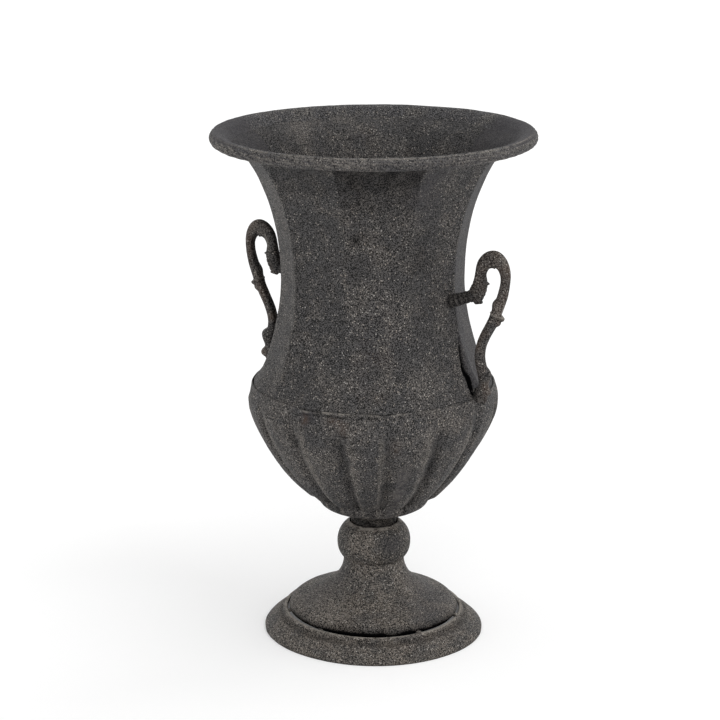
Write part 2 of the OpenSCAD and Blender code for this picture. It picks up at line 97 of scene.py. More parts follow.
# Handles, measured outward from the neck's foot and up from the seam
HANDLE_TURNS = (0, 180)
STEM_R = 0.005
HEAD_TIP = (-0.0023, 0.1026)
HEAD_BACK = (0.0034, 0.1320)
CROWN = (0.0203, 0.1547)
HOOK = (0.0335, 0.1346)
LEAF = (0.0204, 0.0894)
STEM_IN = (0.0039, 0.0470)
STEM_LOW = (0.0088, 0.0188)
STEM_END = (0.0036, -0.0020)
PEG_R, PEG_SLOPE, PEG_INTO = 0.0055, 20.0, 0.004
PEG_SEAT = (-0.0050, 0.1115)


# Curves and outlines

def bend(a, b, pull_a, pull_b, step=0.001):
    """A curve from a to b. Each pull gives its handle as shares of the span in radius and in height."""
    a, b, pull_a, pull_b = (np.array(p, float) for p in (a, b, pull_a, pull_b))
    c, d = a + pull_a * (b - a), b - pull_b * (b - a)
    t = np.linspace(0, 1, 200)[:, None]
    s = 1 - t
    return spaced(s ** 3 * a + 3 * s * s * t * c + 3 * s * t * t * d + t ** 3 * b, step)


def straight(a, b, step=0.001):
    return bend(a, b, (0.3, 0.3), (0.3, 0.3), step)


def run_of(line):
    """The length of the line up to each of its points."""
    return np.concatenate([[0], np.cumsum(np.hypot(*np.diff(line, axis=0).T))])


def spaced(line, step):
    """The same line with points an even step apart."""
    line = np.array(line, float)
    run = run_of(line)
    count = max(2, int(round(run[-1] / step)) + 1)
    at = np.linspace(0, run[-1], count)
    return np.stack([np.interp(at, run, line[:, 0]), np.interp(at, run, line[:, 1])], axis=1)


def joined(*pieces):
    """One line from several that follow each other, without doubled points."""
    line = [pieces[0]]
    for piece in pieces[1:]:
        line.append(piece[1:] if np.allclose(piece[0], line[-1][-1]) else piece)
    return np.concatenate(line)


def left_of(line):
    """The unit vector to the left of the line at each point."""
    ahead = np.gradient(line, axis=0)
    ahead /= np.linalg.norm(ahead, axis=1)[:, None]
    return np.stack([-ahead[:, 1], ahead[:, 0]], axis=1)


def shell_section(line, inner_step):
    """The closed section of a sheet with that outer face.

    It gives the points, the outer point that each goes with, and how near a lip each lies.
    """
    inner_all = line + SHEET * left_of(line)
    run = run_of(line)
    at = np.linspace(0, run[-1], max(3, int(run[-1] / inner_step)))
    pick = np.unique(np.searchsorted(run, at).clip(0, len(line) - 1))[::-1]
    far_lip = round_lip(line[-1], inner_all[-1])
    near_lip = round_lip(inner_all[0], line[0])
    points = np.concatenate([line, far_lip, inner_all[pick], near_lip])
    far_refs = np.repeat(line[-1:], len(far_lip), 0)
    near_refs = np.repeat(line[:1], len(near_lip), 0)
    refs = np.concatenate([line, far_refs, line[pick], near_refs])
    places = np.concatenate([run, np.full(len(far_lip), run[-1]), run[pick], np.zeros(len(near_lip))])
    lip = np.minimum(places, run[-1] - places)
    return points, refs, np.exp(-(lip / 0.0012) ** 2)


def round_lip(a, b, count=3):
    """Points on the half circle from a to b."""
    middle, half = (a + b) / 2, (a - b) / 2
    side = np.array([half[1], -half[0]])
    turns = np.linspace(0, math.pi, count + 2)[1:-1]
    return np.array([middle + half * math.cos(t) - side * math.sin(t) for t in turns])


def ease(t):
    """0 up to 0, 1 from 1 on, and a soft step between."""
    t = np.clip(t, 0, 1)
    return t * t * (3 - 2 * t)


def hump(value, middle, reach):
    """1 at the middle, falling to 0 a reach away on both sides."""
    return np.clip(1 - ((value - middle) / reach) ** 2, 0, 1) ** 2


def away(turn, middle):
    """Degrees from middle to turn, from -180 to 180."""
    return (turn - middle + 180) % 360 - 180


def near(turn, middle, reach):
    """1 at the middle turn, falling to 0 that many degrees away."""
    return hump(away(turn, middle), 0, reach)


def within(turn, middle, half, soft):
    """1 less than half away from the middle turn, with an edge as wide as soft, all in degrees."""
    return ease((half - np.abs(away(turn, middle))) / soft)


# Noise

def noise(points, cells, seed=0):
    """Smooth noise from -1 to 1 with that many cells to the metre."""
    scaled = np.asarray(points) * cells + seed * 17.31
    base = np.floor(scaled).astype(np.int64)
    part = scaled - base
    part = part * part * (3 - 2 * part)
    total = np.zeros(scaled.shape[:-1])
    for corner in range(8):
        step = np.array([corner & 1, corner >> 1 & 1, corner >> 2 & 1])
        share = np.prod(np.where(step, part, 1 - part), axis=-1)
        cell = (base + step).astype(np.uint64)
        code = cell[..., 0] * np.uint64(73856093) ^ cell[..., 1] * np.uint64(19349663)
        code ^= cell[..., 2] * np.uint64(83492791)
        code = (code ^ code >> np.uint64(13)) * np.uint64(1274126177) & np.uint64(0xFFFFFFFF)
        code = (code ^ code >> np.uint64(15)) * np.uint64(2246822519) & np.uint64(0xFFFFFFFF)
        total += share * (code / 2147483648.0 - 1)
    return total


def hand_made(points, seed, dents=0.0005, lumps=0.00018, grit=0.00005):
    """How far a beaten and sanded surface stands out at each point."""
    return (dents * noise(points, 24, seed) + lumps * noise(points, 85, seed + 1)
            + grit * noise(points, 420, seed + 2))


# Meshes

def grid_mesh(name, points, attributes, closed_rows=True):
    """A mesh from points [row, column, xyz], with its rows closed to a ring or with a cap at both ends."""
    rows, columns = points.shape[:2]
    index = np.arange(rows * columns).reshape(rows, columns)
    ahead = np.roll(index, -1, axis=0)
    across = np.roll(index, -1, axis=1)
    both = np.roll(ahead, -1, axis=1)
    quads = np.stack([index, across, both, ahead], axis=-1)
    if not closed_rows:
        quads = quads[:-1]
    mesh = bpy.data.meshes.new(name)
    vertices = points.reshape(-1, 3)
    faces = quads.reshape(-1, 4).tolist()
    if not closed_rows:
        faces += [index[0][::-1].tolist(), index[-1].tolist()]
    mesh.from_pydata(vertices.tolist(), [], faces)
    for key, values in attributes.items():
        layer = mesh.attributes.new(key, "FLOAT", "POINT")
        layer.data.foreach_set("value", np.broadcast_to(values, (rows, columns)).astype(np.float32).ravel())
    mesh.shade_smooth()
    mesh.update()
    return placed(name, mesh)


def placed(name, data):
    """A new object in the scene."""
    piece = bpy.data.objects.new(name, data)
    bpy.context.scene.collection.objects.link(piece)
    return piece


def grid_normals(points, closed_rows=True):
    """The unit normal at each point of a grid."""
    if closed_rows:
        down = np.roll(points, -1, 0) - np.roll(points, 1, 0)
    else:
        down = np.gradient(points, axis=0)
    across = np.roll(points, -1, 1) - np.roll(points, 1, 1)
    normal = np.cross(across, down)
    return normal / np.maximum(np.linalg.norm(normal, axis=-1, keepdims=True), 1e-12)


def dress(piece, slot, material, *nodes):
    """Gives a new piece its finish, its body and the nodes that it stands for."""
    piece.data.materials.append(material)
    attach(piece, "root")
    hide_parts(*nodes)


def revolved(name, line, count, warp, seed, roughness, marks, edge_wear, inner_step=0.002):
    """A beaten sheet shell round the axis, with that many columns.

    warp gives what it adds to the radius and the height at a turn, an outer radius and an outer height.
    marks gives the finish, with its painted light and shade, at a turn, an outer height and a grid point,
    and is told which rows lie inside.
    """
    points, refs, wear = shell_section(line, inner_step)
    turns = np.arange(count) * 2 * math.pi / count
    radius = np.repeat(points[:, :1], count, 1)
    height = np.repeat(points[:, 1:], count, 1)
    if warp:
        out, up = warp(np.degrees(turns)[None, :], refs[:, :1], refs[:, 1:])
        radius = radius + out
        height = height + up
    grid = np.stack([radius * np.cos(turns), radius * np.sin(turns), height], axis=-1)
    grid = grid + grid_normals(grid) * (roughness * hand_made(grid, seed))[..., None]
    grid[..., 2] = np.maximum(grid[..., 2], 0)
    inner = (np.hypot(*(points - refs).T) > SHEET * 0.9)[:, None]
    found = marks(np.degrees(turns)[None, :], refs[:, 1:], grid, inner)
    found["wear"] = np.maximum(edge_wear * wear[:, None], found.get("wear", 0))
    return grid_mesh(name, grid, found)


# Outlines as [radius, height], each with its outside on the right

def ring_line():
    mouth_r = BELL_HIGH.x + TACK_GAP
    skirt_r = mouth_r + BEAD_W + 0.0025
    top = RING_HIGH.z
    foot = (RING_HIGH.x, 0.0025)
    step = (skirt_r + 0.0026, top - STEP_H - SHEET)
    bead_side = (skirt_r - 0.0016, top - 0.0026)
    bead_top = (mouth_r + 0.0022, top + 0.0004)
    lip = (mouth_r + 0.0003, top - 0.0012)
    return joined(
        bend((RING_HIGH.x - 0.0002, 0), foot, (0, 0.3), (0, 0.3)),
        bend(foot, step, (0.2, 0.32), (0.18, 0.1)),
        bend(step, bead_side, (0.95, 0), (0, 0.8), 0.0004),
        bend(bead_side, bead_top, (0, 0.6), (0.6, 0), 0.0005),
        bend(bead_top, lip, (0.7, 0), (0, 0.6), 0.0004),
        straight(lip, (lip[0], BELL_LOW.z)),
    )


def bell_line():
    turn = (BELL_TURN_R, BELL_LOW.z + BELL_TURN_UP)
    edge = (BELL_HIGH.x, RING_HIGH.z + 0.0025)
    dome = joined(
        bend((BELL_TOP_R, BELL_HIGH.z), turn, (0, 0.39), (0.62, 0.17)),
        bend(turn, edge, (0.57, 0.73), (0.17, 0.59)),
        bend(edge, (BELL_HIGH.x - 0.0024, BELL_LOW.z), (0, 0.5), (0.6, 0.2)),
    )[::-1]
    return joined(dome, straight((BELL_TOP_R, BELL_HIGH.z), (ROD_HOLE_R, BELL_HIGH.z)))


def knop_line():
    belly = (KNOP_HIGH.x, KNOP_LOW.z + KNOP_BELLY_UP)
    return joined(
        straight((ROD_HOLE_R, KNOP_LOW.z), (BELL_TOP_R, KNOP_LOW.z)),
        bend((BELL_TOP_R + 0.0005, KNOP_LOW.z), belly, (0.62, 0.28), (0, 0.45)),
        bend(belly, (KNOP_LIP_R, KNOP_HIGH.z), (0, 0.42), (0.67, 0.21)),
    )


def collar_line():
    return straight((COLLAR_HIGH.x, COLLAR_LOW.z), (COLLAR_HIGH.x, COLLAR_HIGH.z))


def neck_line():
    waist = (WAIST_R, SEAM_Z + WAIST_UP)
    turn = (FLARE_R, MOUTH_Z - FLARE_DROP)
    return joined(
        straight((NECK_FOOT_R, SEAM_Z - NECK_SKIRT), (NECK_FOOT_R, SEAM_Z)),
        bend((NECK_FOOT_R, SEAM_Z), waist, (0.44, 0.17), (0.05, 0.4)),
        bend(waist, turn, (0, 0.36), (0.77, 0.32)),
        bend(turn, (MOUTH_R, MOUTH_Z), (0.15, 0.31), (0.53, 0.2)),
    )


def bowl_line():
    lip_r = NECK_FOOT_R + 0.0003 + SHEET
    belly = (BELLY_R, SEAM_Z - BELLY_DROP)
    lobe_end = (LOBE_END_R, BOWL_LOW.z + LOBE_END_UP)
    shoulder = (LOBE_END_R - 0.004, lobe_end[1] - 0.0026)
    dish = (DISH_R, BOWL_LOW.z + DISH_UP)
    upper = joined(
        bend((lip_r, SEAM_Z), belly, (0.45, 0.26), (0, 0.37)),
        bend(belly, lobe_end, (0.01, 0.24), (0.56, 0.31)),
        bend(lobe_end, shoulder, (0.7, 0.2), (0.2, 0), 0.0006),
    )[::-1]
    return joined(
        straight((ROD_HOLE_R, BOWL_LOW.z), (DISH_FLAT_R, BOWL_LOW.z)),
        bend((DISH_FLAT_R, BOWL_LOW.z), dish, (0.87, 0.22), (0, 0.4)),
        bend(dish, shoulder, (0.2, 0.9), (0.6, 0), 0.0006),
        upper,
    )


# What turns the round shells into faces, lobes, folds and dents

NARROW_FACE = (180 - 3 * WIDE_FACE) / 2
FACE_WIDTHS = 2 * (2 * [NARROW_FACE] + 3 * [WIDE_FACE])
FACE_STARTS = [FACE_TURN + sum(FACE_WIDTHS[:i]) for i in range(len(FACE_WIDTHS))]


def lean(turn, z):
    """The neck and the bowl stand a little to the camera's left of the foot's axis."""
    share = ease((z - BOWL_LOW.z - DISH_UP) / 0.02) * ease((MOUTH_Z - z) / 0.03)
    return share * (0.0003 - 0.0007 * np.cos(np.radians(turn - CAMERA_TURN)))


def neck_warp(turn, r, z):
    """Ten flat faces that fade into a circle at both ends, and a deep fold beside each handle."""
    share = ease((z - SEAM_Z) / FADE_LOW) * (1 - ease((z - MOUTH_Z + FADE_HIGH) / FADE_HIGH))
    corner_round = 0.0005
    total = 0
    for start, width in zip(FACE_STARTS, FACE_WIDTHS):
        off = np.radians(np.clip(away(turn, start + width / 2), -75, 75))
        face_r = r * math.cos(math.radians(width / 2)) / np.cos(off)
        total = total + np.exp((r - face_r) / corner_round)
    out = share * corner_round * (math.log(2) - np.log(total)) + lean(turn, z)
    for middle in HANDLE_TURNS:
        out = out + fold(away(turn, middle), z - SEAM_Z)
    wave = 0.0005 * np.sin(np.radians(3 * turn + 40))
    wave = wave - 0.0011 * near(turn, 140, 85) - 0.0007 * near(turn, 240, 60)
    wave = wave * ease((z - MOUTH_Z + 0.06) / 0.06)
    out = out - 0.0009 * hump(z - SEAM_Z, 0.024, 0.024) * ease((z - SEAM_Z - 0.001) / 0.012)
    return out, wave * np.ones_like(out)


def crease(turn, up):
    """How deep in the fold's crease a point lies, from 0 to 1: it starts as a line and opens downward."""
    down = np.clip((0.062 - up) / 0.055, 0, 1)
    middle = 1.9 - 2.4 * down + 0.8 * hump(up, 0.018, 0.007) - 0.9 * ease((0.011 - up) / 0.009)
    half = (0.4 + 1.8 * down) * (1 - 0.4 * ease((0.016 - up) / 0.014))
    return np.exp(-((turn - middle) / half) ** 4) * ease((0.066 - up) / 0.02) * ease((up - 0.001) / 0.005)


def fold(turn, up):
    """The sheet is folded in along a crease, and the narrow face beside it bulges like a tongue."""
    down = ease((0.064 - up) / 0.05) * ease((up - 0.002) / 0.008)
    tongue = 0.0026 * np.exp(-((turn - FACE_TURN - 3.2) / 3.4) ** 2)
    lip = 0.0012 * np.exp(-((turn - FACE_TURN + 7.5) / 2.6) ** 2)
    return down * (tongue + lip) - 0.0048 * crease(turn, up) * ease((up - 0.020) / 0.012)


# Middle turns of the neck's faces that are rubbed smooth, outside and inside
SMOOTH_FACES, SMOOTH_INSIDE = (231.5, 19.5), (199.5, 51.6, 19.5)
# Darker and paler patches of the neck: turn, metres above the seam, width in degrees, height, strength
NECK_DARK_PATCHES = (
    (-68, 0.178, 3.5, 0.006, 0.7), (-62, 0.184, 6, 0.003, 0.35), (-110, 0.14, 5, 0.07, 0.18),
    (-28, 0.155, 13, 0.022, 0.3), (-52, 0.045, 17, 0.04, 0.14), (-66, 0.145, 5, 0.012, 0.3),
    (-95, 0.03, 12, 0.03, 0.12), (3, 0.09, 5, 0.03, 0.2),
)
NECK_PALE_PATCHES = (
    (-86, 0.208, 8, 0.006, 0.5), (-57, 0.196, 9, 0.008, 0.35), (-40, 0.127, 30, 0.012, 0.25),
    (-75, 0.137, 2, 0.016, 0.7), (-60, 0.028, 45, 0.02, 0.35), (-92, 0.165, 6, 0.01, 0.25),
    (-12, 0.20, 9, 0.012, 0.35), (-30, 0.108, 16, 0.014, 0.3),
)
# How much lighter, or darker below 0, each face inside the mouth is painted, as painted light and shade of
# the faces
INSIDE_FACE_SHADING = (0, 0, -0.2, 0.05, 0, -0.1, 0, 0, 0, 0)


def patches(turn, up, places):
    """Soft round patches, each at a turn and a height."""
    total = 0
    for middle, height, width, tall, strength in places:
        total = total + strength * np.exp(-(away(turn, middle) / width) ** 2 - ((up - height) / tall) ** 2)
    return total


def neck_marks(turn, z, grid, inner):
    """Smooth side faces, painted shade under the rim on the front faces and in each fold's crease, a left
    face painted lighter as painted light, painted light and shade inside the mouth, and darker and paler
    patches.
    """
    up = z - SEAM_Z
    outside = 1 - inner
    smooth = 0
    for middle in SMOOTH_FACES:
        smooth = smooth + within(turn, middle, 16.8, 1.6)
    low = outside * ease((0.07 - up) / 0.01)
    for middle in HANDLE_TURNS:
        at = away(turn, middle)
        smooth = np.maximum(smooth, low * ease(at - 0.5) * ease((6 - at) / 1.5))
    inside_smooth = 0
    for middle in SMOOTH_INSIDE:
        inside_smooth = inside_smooth + 0.75 * within(turn, middle, 16.5, 1.2)
    inside_smooth = inside_smooth * ease((z - MOUTH_Z + 0.07) / 0.03)
    outer_share = np.where(np.abs(away(turn, CAMERA_TURN)) > 90, 0.08, 0.62)
    smooth = np.where(inner, inside_smooth, smooth * outer_share)
    smooth = np.maximum(smooth, 0.55 * outside * near(turn, -30, 17) * hump(up, 0.235, 0.05))
    # Painted shade under the rim on the front face and on the face to its left, fading downward
    front = within(turn, -54.8, 19.5, 0.9)
    soot = front * (0.38 * ease((up - 0.222) / 0.02) + 0.34 * ease((up - 0.185) / 0.04))
    soot = soot * (1 - 0.3 * near(turn, -45, 16) * hump(up, 0.225, 0.03))
    beside = within(turn, -93.1, 19, 1.2)
    soot = soot + beside * 0.3 * ease((up - 0.215) / 0.02)
    soot = soot + patches(turn, up, NECK_DARK_PATCHES)
    # Painted shade in the crease of each fold
    for middle in HANDLE_TURNS:
        soot = soot + 2.4 * crease(away(turn, middle), up)
    ragged = np.clip(0.85 + 0.4 * noise(grid, 130, 8), 0, 1.3)
    dust = patches(turn, up, NECK_PALE_PATCHES) * (0.6 + 0.8 * noise(grid, 90, 12))
    dust = dust - 0.25 * beside * hump(up, 0.12, 0.1)
    # The narrow face at the left outline is painted lighter as painted side light, with a touch of darkening
    left_face = within(turn, SMOOTH_FACES[0], 16.5, 1.2)
    dust = dust + 0.3 * left_face
    soot = soot + 0.08 * left_face
    # Inside the mouth: painted shade, darkest toward the ends seen from the camera, and painted light and
    # shade face by face
    aside = np.abs(away(turn, FRONT_TURN)) / 90
    ends = np.clip(aside, 0, 1) * ease((1.9 - aside) / 0.9)
    inside_painted_shade = 0.10 + 0.3 * ends
    inside_dust_and_light = 0 * turn
    for start, width, more in zip(FACE_STARTS, FACE_WIDTHS, INSIDE_FACE_SHADING):
        inside_dust_and_light = inside_dust_and_light + more * within(turn, start + width / 2, width / 2 + 0.5, 1.0)
    inside_dust_and_light = inside_dust_and_light + 0.35 * noise(grid, 26, 14)
    inside_dust_and_light = inside_dust_and_light + 0.5 * near(turn, 160, 11) + 0.5 * near(turn, 191, 6)
    soot = np.where(inner, inside_painted_shade, soot * ragged)
    return {"soot": soot, "dust": np.where(inner, inside_dust_and_light, dust), "smooth": smooth}


def lobe_place(turn, z):
    """Where a turn lies between a lobe's crest, 0, and its valleys, 1 or -1. The lobes vary a little."""
    wander = -2.4 * np.sin(np.radians(turn + 62))
    wander = wander + 0.5 * np.sin(np.radians(7 * turn + 60)) * ease((SEAM_Z - z) / 0.08)
    phase = (turn + wander - LOBE_TURN) * LOBES / 360
    return 2 * (phase - np.floor(phase + 0.5))


# Dents along the bowl's lip: turn, width in degrees, depth
LIP_DENTS = ((-88, 5.5, 0.0030), (-52, 4, 0.001), (60, 6, 0.002), (150, 5, 0.0024), (-150, 5, 0.0016))
# Rust spots of the bowl, with the same figures as the neck's patches
RUST_SPOTS = (
    (-89.5, -0.010, 1.7, 0.006, 0.9), (-75, -0.008, 3.0, 0.004, 0.6), (-71, -0.014, 2.4, 0.005, 0.75),
    (-71, -0.022, 2.0, 0.003, 0.3), (-47, -0.040, 2.5, 0.008, 0.45), (35, -0.012, 4, 0.008, 0.6),
    (120, -0.015, 6, 0.007, 0.6), (170, -0.012, 3, 0.006, 0.6),
)


def bowl_warp(turn, r, z):
    """Sixteen lobes that deepen downward, with a sharp groove between them, and dents along the lip."""
    x = np.abs(lobe_place(turn, z))
    edge = 0.86
    past = x - edge
    valley = np.where(x < edge, 1.06 * x * x, 1.06 * (edge ** 2 + 2 * edge * past) - 3.2 * past ** 2)
    top_z = SEAM_Z - 0.004
    end_z = BOWL_LOW.z + LOBE_END_UP
    above = np.clip((top_z - z) / (top_z - end_z), 0, 1) ** 0.75
    below = np.clip((z - BOWL_LOW.z - DISH_UP) / (LOBE_END_UP - DISH_UP), 0, 1)
    share = np.where(z < end_z - 0.001, below, above)
    groove_share = ease((SEAM_Z - 0.006 - z) / 0.02) * np.where(z < end_z - 0.001, below, 1)
    uneven = 1 + 0.2 * np.sin(np.radians(5 * turn + 20)) + 0.12 * np.sin(np.radians(9 * turn))
    shallow = 1 - 0.45 * near(turn, 213, 22) - 0.3 * near(turn, 33, 18)
    out = -share * LOBE_DEPTH * uneven * shallow * valley + lean(turn, z)
    out = out + 0.0016 * hump(z, BOWL_LOW.z + 0.033, 0.045) * (z > end_z - 0.001)
    low_share = 1 - 0.5 * ease((BOWL_LOW.z + 0.065 - z) / 0.04)
    crest = 0.0010 * np.exp(-((x - 0.62) / 0.16) ** 2)
    groove = 0.0012 * np.exp(-((1 - x) / 0.15) ** 2)
    out = out + groove_share * low_share * (crest - groove)
    facing = 0.25 + 0.75 * within(turn, -64, 40, 15)
    out = out + facing * (0.0007 * hump(z, SEAM_Z, 0.0026) - 0.0004 * hump(z, SEAM_Z - 0.0048, 0.0024))
    up = np.zeros_like(out)
    for middle, width, depth in LIP_DENTS:
        here = np.exp(-(away(turn, middle) / width) ** 2)
        out = out + here * (0.0009 * hump(z, SEAM_Z, 0.004) - depth * hump(z, SEAM_Z - 0.011, 0.009))
        up = up - here * 0.0016 * hump(z, SEAM_Z, 0.006)
    return out, up


def bowl_marks(turn, z, grid, inner):
    """Soot and painted shade in the grooves, painted light on the lobes' sides, a painted highlight and
    shadow along the lip in front, rust under the lip and one smooth face with a painted highlight.
    """
    up = z - SEAM_Z
    outside = 1 - inner
    place = lobe_place(turn, z)
    x = np.abs(place)
    off = away(turn, -55)
    side = np.where(off < 0, -place, place)
    share = ease((SEAM_Z - 0.008 - z) / 0.03) * outside
    low = ease((-0.05 - up) / 0.06)
    # Soot and painted shade in the grooves, less on one side of each groove seen from the front, and darker
    # low on the bowl
    soot = share * (0.46 + 0.1 * low) * np.exp(-((1 - x) / 0.3) ** 2) * (1 - 0.3 * (side > 0))
    soot = soot * (0.55 + 0.9 * noise(grid, 34, 15).clip(-0.5, 1))
    soot = soot + 0.18 * outside * ease((-0.098 - up) / 0.03)
    # Painted light on the side of each lobe that faces the nearer outline, stronger toward the outline
    painted_side_light = share * np.exp(-((side - 0.60) / 0.17) ** 2) * (0.5 + 0.5 * ease(np.abs(off) / 70))
    stain = patches(turn, up, RUST_SPOTS) * np.clip(0.8 + 0.5 * noise(grid, 160, 5), 0, 1.2) * outside
    # A smooth band low on the right of the front with a painted highlight, and painted light above it
    rubbed_and_highlit = near(turn, -41, 5) * ease((-0.055 - up) / 0.02) * outside
    dust = 0.9 * painted_side_light + 0.3 * share * near(turn, -42, 10) * hump(up, -0.02, 0.04)
    dust = dust + 0.3 * outside * noise(grid, 30, 16) + 0.15
    # Painted highlight on the lip's edge and painted shadow just under it, in front and at the bent dent
    front = within(turn, -60, 30, 10) * outside
    broken = np.clip(0.5 + 1.2 * noise(grid, 120, 21), 0, 1)
    lip = 1.4 * hump(up, -0.0002, 0.0020) * front * broken
    soot = soot + 0.9 * hump(up, -0.0040, 0.0018) * front * broken
    bent = outside * np.exp(-(away(turn, -88.5) / 3.2) ** 2)
    smooth = np.maximum(0.75 * rubbed_and_highlit, bent * hump(up, -0.006, 0.012))
    soot = soot + bent * 0.8 * hump(up, -0.0052, 0.0016)
    lip = np.maximum(lip, bent * hump(up, -0.001, 0.0022))
    ragged = np.clip(0.9 + 0.5 * noise(grid, 120, 9), 0, 1.4)
    return {"stain": stain, "soot": soot * ragged, "dust": dust * ragged * outside, "smooth": smooth,
            "wear": np.maximum(0.5 * painted_side_light * ragged, lip) + 0.35 * rubbed_and_highlit}


def ring_marks(turn, z, grid, inner):
    """A worn lip round the bell's edge, painted shade on the step below it, on the wall under the bead and
    in the gap inside the lip, and a painted contact shadow along the floor.
    """
    outside = 1 - inner
    r = np.hypot(grid[..., 0], grid[..., 1])
    top = RING_HIGH.z
    lip_r = BELL_HIGH.x + TACK_GAP + 0.0026
    ragged = np.clip(0.9 + 0.5 * noise(grid, 90, 18), 0.2, 1.4)
    shifted = r + 0.0008 * np.cos(np.radians(turn - CAMERA_TURN))
    lip = hump(shifted, lip_r - 0.0004, 0.0026) * (z > top - 0.004)
    step = hump(z, top - STEP_H - SHEET + 0.0006, 0.0022)
    wall = ease((top - 0.0018 - z) / 0.001) * ease((z - top + STEP_H + SHEET) / 0.001)
    streaks = noise(np.stack([turn / 14 + 0 * r, r * 260, 0 * r], -1), 1, 19)
    # Painted shade on the step and on the wall under the bead, a painted contact shadow along the floor, and
    # darker streaks
    soot = 0.2 * step + 0.14 * wall + 0.55 * hump(z, 0.0004, 0.0012) + 0.2 * np.clip(streaks, 0, 1)
    # Painted shade in the gap inside the lip, round the bell's edge
    soot = soot + 1.2 * (shifted < lip_r - 0.0022) * (z > 0.004)
    dust = 0.3 + 0.35 * streaks + lip
    return {"wear": 2.4 * lip * ragged * outside, "soot": soot * outside * (1 - lip), "dust": dust}


def bell_marks(turn, z, grid, inner):
    """Painted shade along its edge down in the ring, most of all in front, painted shade under the knop in
    front, and painted light on the left.
    """
    outside = 1 - inner
    view = away(turn, CAMERA_TURN)
    up = z - RING_HIGH.z
    front = near(view, -90, 105)
    # Painted shade along the edge where the bell goes down into the ring, most of all in front
    soot = 1.2 * hump(up, -0.001, 0.006) + (0.2 + 0.65 * front) * ease((0.0125 - up) / 0.0105)
    # Painted shade under the knop, in front
    soot = soot + 0.35 * near(view, -78, 45) * hump(z, BELL_HIGH.z, 0.005)
    ragged = np.clip(0.9 + 0.4 * noise(grid, 90, 22), 0, 1.4)
    # Painted light low on the left, over an uneven dust
    dust = 0.3 + 0.5 * near(view, -135, 50) * hump(up, 0.012, 0.014) + 0.35 * noise(grid, 40, 23)
    sides = near(view, -165, 40) + near(view, -12, 40)
    smooth = 0.5 * sides * hump(up, 0.03, 0.03) + 0.35 * near(view, -45, 25) * hump(up, 0.012, 0.016)
    return {"soot": soot * ragged * outside, "dust": dust, "smooth": smooth * outside}


def knop_marks(turn, z, grid, inner):
    """A worn open lip, pale grains on the left and a darker smooth patch on the right."""
    outside = 1 - inner
    view = away(turn, CAMERA_TURN)
    up = z - KNOP_LOW.z
    rim = hump(z, KNOP_HIGH.z - 0.0004, 0.0028)
    wear = 3.0 * rim * np.clip(0.7 + noise(grid, 120, 25), 0, 1)
    dust = rim + 0.1 + 0.5 * near(view, -112, 40) * hump(up, 0.030, 0.014)
    dust = dust - 0.4 * near(view, -60, 40) * hump(up, 0.024, 0.02)
    dust = dust + 0.35 * noise(grid, 60, 26)
    soot = 0.4 * near(view, -80, 35) * hump(up, 0, 0.004)
    soot = soot + 0.22 * near(view, -68, 25) * hump(up, 0.024, 0.014)
    smooth = 0.6 * near(view, -60, 30) * hump(up, 0.024, 0.013)
    return {"wear": wear * outside, "dust": dust, "soot": soot * outside, "smooth": smooth * outside}


def collar_marks(turn, z, grid, inner):
    """Dark all over."""
    return {"soot": 0.78 + 0.3 * noise(grid, 200, 27), "dust": 0 * turn}


def foot_wave(turn, r, z):
    """The ring is a little oval and stands off centre, and its mouth and the bell lean to one side."""
    view = np.radians(turn - CAMERA_TURN)
    low = 1 - ease(z / RING_HIGH.z)
    out = -0.0007 * low - 0.015 * r * low * np.sin(2 * view)
    out = out - 0.0008 * ease((r - 0.04) / 0.05) * np.cos(view)
    out = out + 0.0003 * ease((r - 0.06) / 0.05) * np.sin(np.radians(5 * turn))
    up = -0.015 * (r - 0.03).clip(0) * np.cos(view) * ease(z / RING_HIGH.z)
    return out, up


# Rope rim

def rim_section():
    """The rim's closed section: round outside and below, with a lip that flows out of the neck.

    It gives the points, the angle of each round the rope's middle, and how much each follows the neck.
    """
    path_r = ROPE_HIGH.x - ROPE_R
    middle_z = (ROPE_LOW.z + ROPE_HIGH.z) / 2
    turns = np.radians(np.arange(80, -161, -4.5))
    r = ROPE_R - 0.0003
    round_part = np.stack([path_r + r * np.cos(turns), middle_z + r * np.sin(turns)], axis=1)
    line = neck_line()
    at = int(np.argmin(np.abs(line[:, 0] - MOUTH_R + LIP_REACH)))
    inside = line[at] + 0.6 * SHEET * left_of(line)[at]
    ahead = line[at + 1] - line[at]
    crest = round_part[0]
    span = crest - inside
    pull = 0.42 * np.linalg.norm(span) * ahead / np.linalg.norm(ahead) / span * np.array([1, 1.12])
    lip = bend(inside, crest, pull, (0.55, 0.10), 0.0007)
    back = straight(round_part[-1], inside, 0.0012)
    section = joined(round_part, back, lip)[:-1]
    angle = np.degrees(np.arctan2(section[:, 1] - middle_z, section[:, 0] - path_r))
    follow = ease((path_r - 0.003 - section[:, 0]) / (LIP_REACH - 0.004)) * (np.abs(angle) > 100)
    return section, angle, follow


